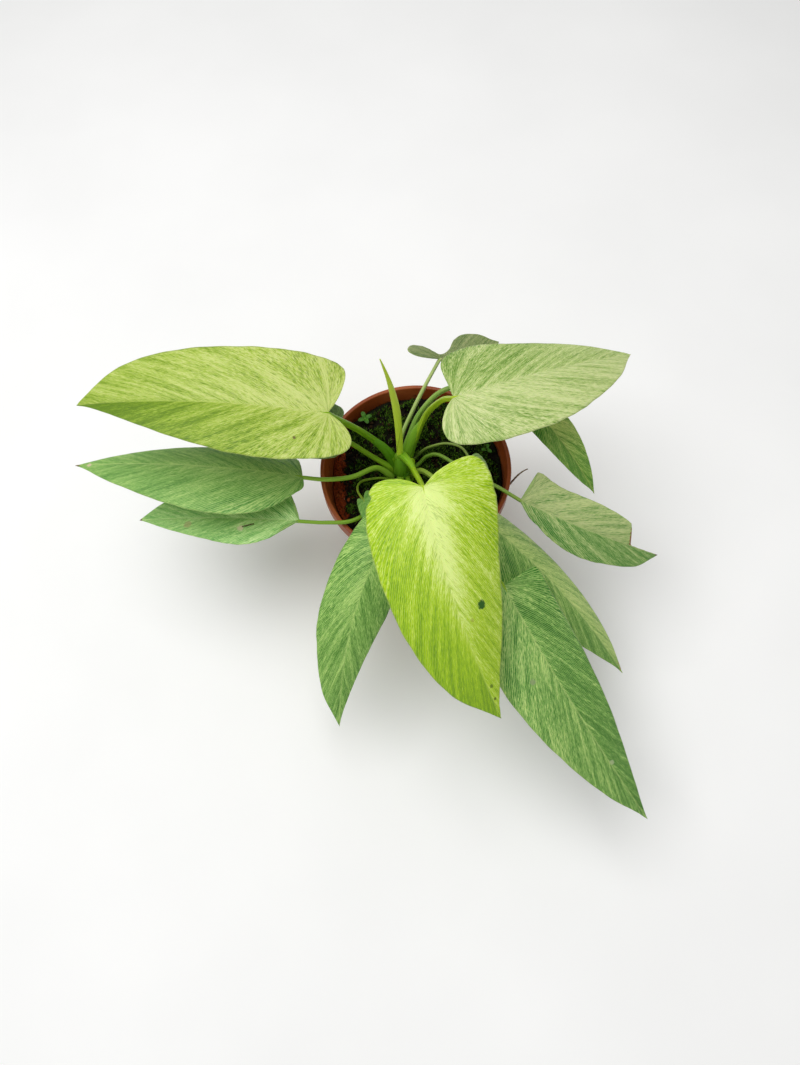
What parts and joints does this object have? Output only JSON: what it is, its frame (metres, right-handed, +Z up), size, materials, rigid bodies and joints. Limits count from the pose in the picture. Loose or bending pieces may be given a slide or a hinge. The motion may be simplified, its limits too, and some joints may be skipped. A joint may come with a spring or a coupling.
{
  "type": "potted homalomena plant",
  "caption": "House plant in a round nursery pot: long heart-shaped leaves, green streaked with cream, arch on slender stalks from a short crown around a rolled new leaf.",
  "frame": {"origin": "the middle of the underside of the pot, where the pot rests", "axes": "+Z up along the pot's axis, +X towards the picture's right, +Y away from the viewer of the picture"},
  "size_m": [0.3543, 0.2966, 0.2151],
  "materials": {
    "pot": "satin, moulded",
    "potting_mix": "crumbly, moist, mossy",
    "crown": "smooth, slightly waxy",
    "leaf_lime": "soft sheen, streaked along the veins",
    "leaf_yellow_green": "soft sheen, streaked along the veins",
    "leaf_green": "soft sheen, streaked along the veins",
    "leaf_grey": "soft sheen, streaked along the veins",
    "new_leaf": "smooth, waxy",
    "dry_stalk": "dry, wrinkled",
    "seedling": "soft"
  },
  "bodies": {
    "root": {"pot": "pot", "potting_mix": "potting_mix", "crown": "crown", "leaf_top_left": "leaf_lime", "leaf_under_top_left": "leaf_green", "leaf_left": "leaf_green", "leaf_lower_left": "leaf_green", "leaf_front_left": "leaf_green", "leaf_front_left_small": "leaf_green", "leaf_front": "leaf_yellow_green", "leaf_lower_right": "leaf_green", "leaf_behind_lower_right": "leaf_green", "leaf_right": "leaf_grey", "leaf_right_small": "leaf_grey", "leaf_top_right": "leaf_lime", "leaf_back": "leaf_grey", "leaf_front_right_small": "leaf_grey", "new_leaf": "new_leaf", "dry_stalk": "dry_stalk", "seedling_back_left": "seedling", "seedling_right": "seedling"}
  },
  "joints": []
}
